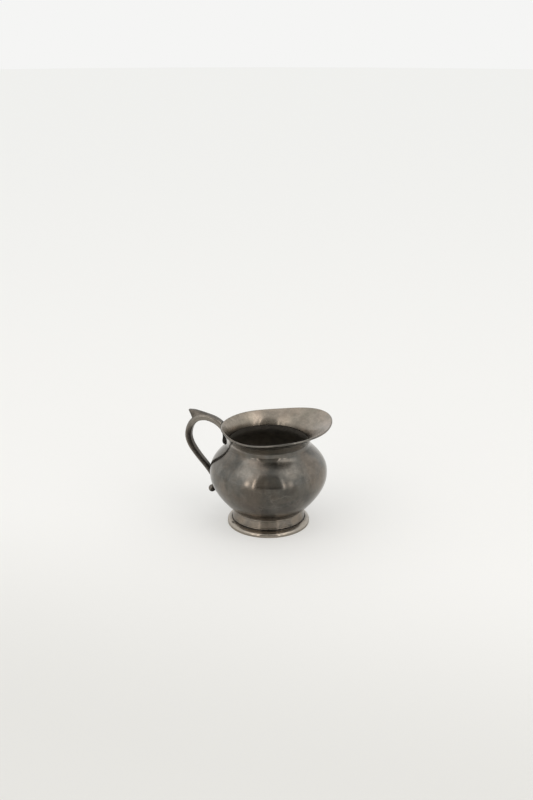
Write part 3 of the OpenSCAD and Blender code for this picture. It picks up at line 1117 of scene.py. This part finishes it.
    def build(self) -> list[Object]:
        """Builds the foot's pieces.

        Returns:
            The pieces.
        """
        low, middle = (self.bore_r, self.groove_r), (self.bore_r, self.solder_r)
        high, top = (self.body.mouth_r, self.disc_r), self.disc_z + self.disc_t
        return [
            self.flange(),
            Mesher.film("flange_solder_film", ["flange_solder"], low, self.hub_z, SOLDER),
            self.band(),
            Mesher.film("foot_solder_film", ["foot_solder"], middle, self.band_top_z, SOLDER),
            self.disc(),
            Mesher.film("disc_solder_film", ["disc_solder"], high, top, SOLDER),
        ]


@dataclass
class Handle:
    """The cast scroll handle: lug, thumb spur, arm, tail and ball, swept along one line."""

    body: Body
    collar: Collar
    out: float = 22.4
    width: float = 6.6
    thickness: float = 5.0
    heel_z: float = 34.0
    bed: float = 0.3
    beds: tuple[str, ...] = ("upper_handle_solder", "lower_handle_solder")
    sides: int = 48
    sweep_steps: int = 6
    # Squareness of the arm's inner and outer side; 2 is round.
    square: Pair = (4.0, 2.6)
    # The spur's height, the stations of its root, tip and notch, and how it bends upwards.
    spur_h: float = 6.6
    spur_root: float = 6.2
    spur_tip: float = 9.0
    spur_notch: float = 9.33
    spur_bend: float = 2.0
    ridge: Pair = (0.45, 0.72)
    # The ball: its size, and the degrees of its first and last ring from its middle.
    ball_d: float = 5.8
    ball_span: Pair = (-40.0, 86.0)
    ball_steps: int = 8
    path_shares: tuple[Pair, ...] = (
        (-0.16, 0.6), (-0.185, 0.65), (-0.175, 0.76), (-0.11, 0.862), (0, 0.942), (0.149, 1.008),
        (0.32, 1.05), (0.46, 1.063), (0.6, 1.046), (0.695, 1.008), (0.814, 0.921), (0.889, 0.8),
        (0.907, 0.669), (0.842, 0.535), (0.717, 0.415), (0.554, 0.297), (0.375, 0.186), (0.203, 0.079),
        (0.065, -0.023), (-0.01, -0.122), (0, -0.206), (0.047, -0.288),
    )
    section_shares: tuple[Pair, ...] = (
        (0.45, 0.35), (0.88, 1), (0.92, 1.02), (0.98, 1.02), (1.02, 1), (1, 1),
        (0.96, 1), (0.98, 1.04), (1, 1.06), (1, 1.02), (1, 1.02), (1, 1.02),
        (1, 1), (0.98, 0.96), (0.95, 0.9), (0.93, 0.86), (0.91, 0.84), (0.9, 0.84),
        (0.88, 0.84), (0.78, 0.74), (0.66, 0.6), (0.6, 0.56),
    )

    def station(self, share: Pair) -> Pair:
        """Place of a station of the handle's line.

        Args:
            share: share of the reach outwards and share of the height.

        Returns:
            Radius and height.
        """
        body, lip_z = self.body, self.body.throat_z + self.collar.lip_heights[-1]
        near = mix(body.belly_r - body.wall, self.collar.lip_radii[-1], share[1])
        return (mix(near, body.belly_r + self.out, share[0]), mix(self.heel_z, lip_z, share[1]))

    @staticmethod
    def smooth(values: Sequence[Pair], at: float) -> Vector:
        """Value between stations, on a smooth curve through all of them.

        Args:
            values: the stations' values.
            at: station number, with a fraction.

        Returns:
            The value, as a vector.
        """
        last = len(values) - 1
        i = min(math.floor(at), last - 1)
        t = at - i
        a, b = Vector(values[max(i - 1, 0)]), Vector(values[i])
        c, d = Vector(values[i + 1]), Vector(values[min(i + 2, last)])
        return b + t / 2 * (c - a + t * (2 * a - 5 * b + 4 * c - d + t * (3 * b - a - 3 * c + d)))

    def crest(self, at: float) -> float:
        """Height of the thumb spur above the arm at a station.

        Args:
            at: station number, with a fraction.

        Returns:
            The height in millimetres.
        """
        if at <= self.spur_root or at >= self.spur_notch:
            return 0.0
        if at <= self.spur_tip:
            return self.spur_h * ((at - self.spur_root) / (self.spur_tip - self.spur_root)) ** self.spur_bend
        return self.spur_h * (self.spur_notch - at) / (self.spur_notch - self.spur_tip)

    def jug_radius(self, height: float, angle: float) -> float:
        """Outer radius of the jug at a height and an angle round the axis.

        Args:
            height: height in millimetres.
            angle: angle from the spout, in radians.

        Returns:
            The radius in millimetres.
        """
        body = self.body
        if height <= body.throat_z:
            return body.radius(height)
        return self.collar.flare(angle, min((height - body.throat_z) / self.collar.climb(angle), 1.0))[0]

    def seated(self, place: Vector) -> Vector:
        """Moves a point straight outwards where it would lie inside the jug's outer face.

        Args:
            place: the point, in millimetres.

        Returns:
            The point, clear of the jug by the bed of solder.
        """
        radius = math.hypot(place.x, place.y)
        least = self.jug_radius(place.z, math.atan2(place.y, place.x)) + self.bed
        out = max(least / radius, 1.0)
        return Vector((place.x * out, place.y * out, place.z))

    def rings(self) -> list[list[Vector]]:
        """Points of every ring of the sweep, in millimetres.

        Returns:
            The rings from the lug's end to the ball's.
        """
        path = [self.station(share) for share in self.path_shares]
        sizes = [(w * self.width, t * self.thickness) for w, t in self.section_shares]
        last = len(path) - 1
        made = []
        for step in range(round((last - 2 / 3) * self.sweep_steps) + 1):
            at = step / self.sweep_steps
            size, rise = self.smooth(sizes, at) / 2, self.crest(at)
            made.append(self.ring(self.smooth(path, at), self.way(path, at), size, rise, self.square))
        way, ball_r = self.way(path, last), self.ball_d / 2
        for i in range(self.ball_steps + 1):
            angle = math.radians(mix(*self.ball_span, i / self.ball_steps))
            centre = Vector(path[last]) + ball_r * math.sin(angle) * way
            radius = ball_r * math.cos(angle)
            made.append(self.ring(centre, way, Vector((radius, radius)), 0.0, (2.0, 2.0)))
        return made

    def way(self, path: Sequence[Pair], at: float, near: float = 0.05) -> Vector:
        """Direction of the handle's line at a station; it starts straight upwards.

        Args:
            path: places of the stations.
            at: station number, with a fraction.
            near: how far to each side the line is looked at, in stations.

        Returns:
            A vector of length 1.
        """
        ends = min(at + near, len(path) - 1), max(at - near, 0)
        along = (self.smooth(path, ends[0]) - self.smooth(path, ends[1])).normalized()
        share = min(at / 2, 1.0)
        return (share * along + Vector((0.0, 1.0 - share))).normalized()

    def ring(self, centre: Vector, way: Vector, size: Vector, rise: float, square: Pair) -> list[Vector]:
        """One ring round the handle's line.

        Args:
            centre: reach and height of its centre.
            way: direction of the line there.
            size: half width and half thickness.
            rise: height of the spur above the arm.
            square: squareness of the inner and of the outer side.

        Returns:
            Its points, seated on the jug.
        """
        points = []
        for i in range(self.sides):
            turn = math.radians(self.turn(i))
            power = 2 / (square[1] if math.cos(turn) > 0 else square[0])
            across = math.copysign(abs(math.sin(turn)) ** power, math.sin(turn))
            out = math.copysign(abs(math.cos(turn)) ** power, math.cos(turn)) * size.y
            if rise and out > 0:
                out += rise * (1 - eased(*self.ridge, abs(across)))
            reach, height = centre.x - out * way.y, centre.y + out * way.x
            points.append(self.seated(Vector((-reach, -across * size.x, height))))
        return points

    def turn(self, side: int) -> float:
        """Angle in degrees of a point round its ring, from the middle of the outer side."""
        return 90 + 360 * (side + 0.5) / self.sides

    def wear_and_shading(self, side: int, step: int) -> float:
        """Painted light and shade of a point: painted light on the arch, painted shade inside the lower arm
        and on the lug under the rim, darker along the crown from the spur on.

        Args:
            side: number of the point round its ring.
            step: number of the ring.

        Returns:
            A value from -1 to 1.
        """
        out, at = math.cos(math.radians(self.turn(side))), step / self.sweep_steps
        crown, outer, inmost = eased(0.6, 0.95, out), eased(-0.1, 0.25, out), eased(0.7, 0.95, -out)
        lug, arch, thumb = 1 - eased(2.0, 3.5, at), 1 - eased(9.6, 11.6, at), eased(5.5, 8.0, at)
        # Painted light on the sides of the arch.
        face = mix(0.05, 0.45, arch) * outer * (1 - crown)
        # Painted light inside the arch, painted shade inside the lower arm.
        hollow = mix(0.5 * inmost - 0.85, 0.45, arch) * (1 - outer)
        # Darker along the crown from the spur on, and painted shade on the lug under the rim.
        return face + hollow - 0.3 * crown * thumb - 1.6 * lug

    def casting(self) -> Object:
        """Builds the handle by extruding a ring of edges from station to station.

        Returns:
            The piece.
        """
        rings = self.rings()
        mesh = bmesh.new()
        wear_and_shading_layer, number = mesh.verts.layers.float.new(WEAR_AND_SHADING), mesh.verts.layers.int.new(NUMBER)
        made = bmesh.ops.create_circle(mesh, cap_ends=False, segments=self.sides, radius=MM)
        for i, vertex in enumerate(made["verts"]):
            vertex[number], vertex[wear_and_shading_layer] = i, self.wear_and_shading(i, 0)
            vertex.co = rings[0][i] * MM
        edges = list(mesh.edges)
        for step, ring in enumerate(rings[1:], 1):
            grown = bmesh.ops.extrude_edge_only(mesh, edges=edges)["geom"]
            fresh = {item for item in grown if isinstance(item, bmesh.types.BMVert)}
            for vertex in fresh:
                vertex.co = ring[vertex[number]] * MM
                vertex[wear_and_shading_layer] = self.wear_and_shading(vertex[number], step)
            sides = [item for item in grown if isinstance(item, bmesh.types.BMEdge)]
            edges = [edge for edge in sides if all(vertex in fresh for vertex in edge.verts)]
        bmesh.ops.holes_fill(mesh, edges=mesh.edges, sides=self.sides)
        return Mesher.piece(mesh, "handle_cast", ["handle"], CAST)

    def build(self) -> list[Object]:
        """Builds the handle and dresses the beds of solder.

        Returns:
            The handle and the two beds.
        """
        beds = [bpy.data.objects[name] for name in self.beds]
        for bed in beds:
            bed.data.materials.clear()
            bed.data.materials.append(SOLDER.material())
        return [self.casting(), *beds]


@dataclass(frozen=True)
class Lamp:
    """A flat soft lamp that faces the jug.

    Attributes:
        name: its name.
        azimuth: direction from the jug, in degrees from the front, positive to the spout.
        low: elevation of its lower edge, in degrees.
        high: elevation of its upper edge.
        spread: width, in degrees seen from the jug.
        glow: brightness of its face, where white paper in the surround's light is about 1.
        upright: whether it stands upright on the floor or leans towards the jug.
        fade: share of its half width over which its edges fade out.
        colour: colour of its light, a little warmer than the surround's.
    """

    name: str
    azimuth: float
    low: float
    high: float
    spread: float
    glow: float
    upright: bool = False
    fade: float = 0.0
    colour: str = "fff3ea"

    def _fade_out(self, tree: bpy.types.NodeTree) -> None:
        """Lets the lamp's face fade towards its edges, as a diffuser does.

        Args:
            tree: the lamp's node tree.
        """
        nodes, soft = Nodes(tree), {"interpolation_type": "SMOOTHSTEP"}
        across = nodes.add("NewGeometry", out="Parametric")
        other = nodes.add("VectorMath", {0: (1.0, 1.0, 1.0)}, {1: across}, operation="SUBTRACT")
        nearer = nodes.add("VectorMath", links={0: across, 1: other}, operation="MINIMUM")
        shares = {}
        for number, axis in enumerate("XY"):
            side = nodes.add("SeparateXYZ", links={"Vector": nearer}, out=axis)
            shares[number] = nodes.add("MapRange", {"From Max": self.fade / 2}, {"Value": side}, **soft)
        both = nodes.add("Math", links=shares, operation="MULTIPLY")
        tree.links.new(both, tree.nodes["Emission"].inputs["Strength"])

    def build(self, distance: float) -> Object:
        """Hangs the lamp at a distance.

        Args:
            distance: distance from the jug, in metres.

        Returns:
            The lamp.
        """
        low, high, turn = math.radians(self.low), math.radians(self.high), math.radians(self.azimuth)
        if self.upright:
            bottom, top = distance * math.tan(low), distance * math.tan(high)
            middle, far, height = (bottom + top) / 2, distance, top - bottom
        else:
            level = (low + high) / 2
            middle, far = distance * math.sin(level), distance * math.cos(level)
            height = 2 * distance * math.tan((high - low) / 2)
        width = 2 * far * math.tan(math.radians(self.spread / 2))
        data = bpy.data.lights.new(self.name, "AREA")
        data.shape, data.size, data.size_y = "RECTANGLE", width, height
        data.energy = self.glow * math.pi * width * height
        data.color = linear(self.colour)[:3]
        if self.fade:
            data.use_nodes = True
            self._fade_out(data.node_tree)
        lamp = in_scene(self.name, data)
        lamp.location = (far * math.sin(turn), -far * math.cos(turn), middle)
        aim = Vector((0.0, 0.0, middle if self.upright else 0.0)) - lamp.location
        lamp.rotation_euler = aim.to_track_quat("-Z", "Y").to_euler()
        lamp.visible_camera = False
        return lamp


@dataclass
class Studio:
    """Pale floor, even surround, soft lamps, a grey card before the jug, and the camera."""

    camera_place: Place = (0.2311, -0.7600, 0.3850)
    camera_way: Place = (-0.27550, 0.89985, -0.33812)
    lens: float = 50.5
    sensor: float = 36.0
    floor_r: float = 6.0
    # Colours of the floor round the jug and in front of it, and where one turns into the other: the darker
    # front is painted shade of the light falling off towards the camera.
    floor_colours: tuple[str, str] = ("f6f6f4", "e6e6e3")
    floor_reach: Pair = (-0.02, -0.3)
    floor_glow: float = 0.4
    surround: str = "f5f5f4"
    distance: float = 1.5
    card_azimuth: float = 17.3
    card_size: Pair = (1.43, 2.35)
    # Colours of the card at its foot and above, and the height over which it lightens.
    card_colours: tuple[str, str] = ("5e5c59", "b2b0ac")
    card_reach: Pair = (0.0, 0.5)
    lamps: tuple[Lamp, ...] = (
        Lamp("left_strip", -12.0, 0.0, 39.0, 3.0, 2.3, upright=True),
        Lamp("right_strip", 46.5, 0.0, 39.0, 3.0, 2.3, upright=True),
        Lamp("left_low", -25.0, 0.0, 34.0, 15.0, 2.3, fade=1.0),
        Lamp("right_low", 60.0, 0.0, 34.0, 15.0, 1.9, fade=1.0),
        Lamp("left_soft", -38.0, 20.0, 75.0, 78.0, 0.85, fade=1.0),
        Lamp("right_soft", 73.0, 20.0, 75.0, 76.0, 1.1, fade=1.0),
    )

    @staticmethod
    def staged(mesh: Mesh, name: str, material: bpy.types.Material) -> Object:
        """Puts a mesh in the scene as part of the stage.

        Args:
            mesh: the mesh, which is freed.
            name: its name.
            material: its material.

        Returns:
            The object.
        """
        data = bpy.data.meshes.new(name)
        mesh.to_mesh(data)
        mesh.free()
        made = in_scene(name, data)
        data.materials.append(material)
        return made

    @staticmethod
    def graded(nodes: Nodes, axis: str, reach: Pair, colours: tuple[str, str]) -> Socket:
        """Colour that turns softly from one into another along an axis.

        Args:
            nodes: the material's nodes.
            axis: "X", "Y" or "Z".
            reach: where the change begins and ends, in metres.
            colours: the first and the second colour.

        Returns:
            The colour.
        """
        along = nodes.add("SeparateXYZ", links={"Vector": nodes.add("TexCoord", out="Object")}, out=axis)
        ends = {"From Min": reach[0], "From Max": reach[1]}
        share = nodes.add("MapRange", ends, {"Value": along}, interpolation_type="SMOOTHSTEP")
        both = {6: linear(colours[0]), 7: linear(colours[1])}
        return nodes.add("Mix", both, {"Factor": share}, 2, data_type="RGBA")

    def floor(self) -> Object:
        """Builds the floor: matt card that glows a little to the eye, so its shadow is soft.

        Returns:
            The floor.
        """
        mesh = bmesh.new()
        bmesh.ops.create_circle(mesh, cap_ends=True, segments=64, radius=self.floor_r)
        material = blank_material("Matt white card")
        nodes = Nodes(material.node_tree)
        colour = {"Color": self.graded(nodes, "Y", self.floor_reach, self.floor_colours)}
        card, glow = nodes.add("BsdfDiffuse", links=colour), nodes.add("Emission", links=colour)
        seen = nodes.add("LightPath", out="Is Camera Ray")
        share = nodes.add("Math", {1: self.floor_glow}, {0: seen}, operation="MULTIPLY")
        nodes.surface(nodes.add("MixShader", links={0: share, 1: card, 2: glow}))
        return self.staged(mesh, "floor", material)

    def card(self) -> Object:
        """Builds the grey card behind the camera, which the front of the jug mirrors.

        Returns:
            The card.
        """
        width, height = self.card_size
        turn = math.radians(self.card_azimuth)
        mesh = bmesh.new()
        bmesh.ops.create_grid(mesh, x_segments=1, y_segments=1, size=0.5)
        place = Vector((self.distance * math.sin(turn), -self.distance * math.cos(turn), height / 2))
        upright = Matrix.Rotation(turn, 4, "Z") @ Matrix.Rotation(math.pi / 2, 4, "X")
        stand = Matrix.Translation(place) @ upright @ Matrix.Diagonal((width, height, 1.0, 1.0))
        bmesh.ops.transform(mesh, matrix=stand, verts=mesh.verts)
        material = blank_material("Matt grey card")
        nodes = Nodes(material.node_tree)
        tone = self.graded(nodes, "Z", self.card_reach, self.card_colours)
        nodes.surface(nodes.add("BsdfDiffuse", links={"Color": tone}))
        card = self.staged(mesh, "grey_card", material)
        card.visible_camera = False
        return card

    def world(self) -> None:
        """Sets the even white surround."""
        world = bpy.data.worlds.new("Soft white surround")
        bpy.context.scene.world = world
        world.use_nodes = True
        world.node_tree.nodes["Background"].inputs["Color"].default_value = linear(self.surround)

    def camera(self) -> None:
        """Places the camera."""
        data = bpy.data.cameras.new("camera")
        data.lens, data.sensor_width = self.lens, self.sensor
        camera = in_scene("camera", data)
        camera.location = self.camera_place
        camera.rotation_euler = Vector(self.camera_way).to_track_quat("-Z", "Y").to_euler()
        bpy.context.scene.camera = camera

    def build(self) -> None:
        """Builds the studio and sets the plain view transform."""
        bpy.context.scene.view_settings.view_transform = "Standard"
        self.floor()
        self.card()
        self.world()
        for lamp in self.lamps:
            lamp.build(self.distance)
        self.camera()


def main() -> None:
    """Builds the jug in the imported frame, then the studio."""
    logging.basicConfig(level=logging.INFO, format="%(name)s: %(message)s")
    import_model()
    body = Body()
    collar = Collar(body)
    for part in (body, collar, Foot(body), Handle(body, collar)):
        for piece in part.build():
            LOG.info("built %s", piece.name)
    Studio().build()


if __name__ == "__main__":
    main()
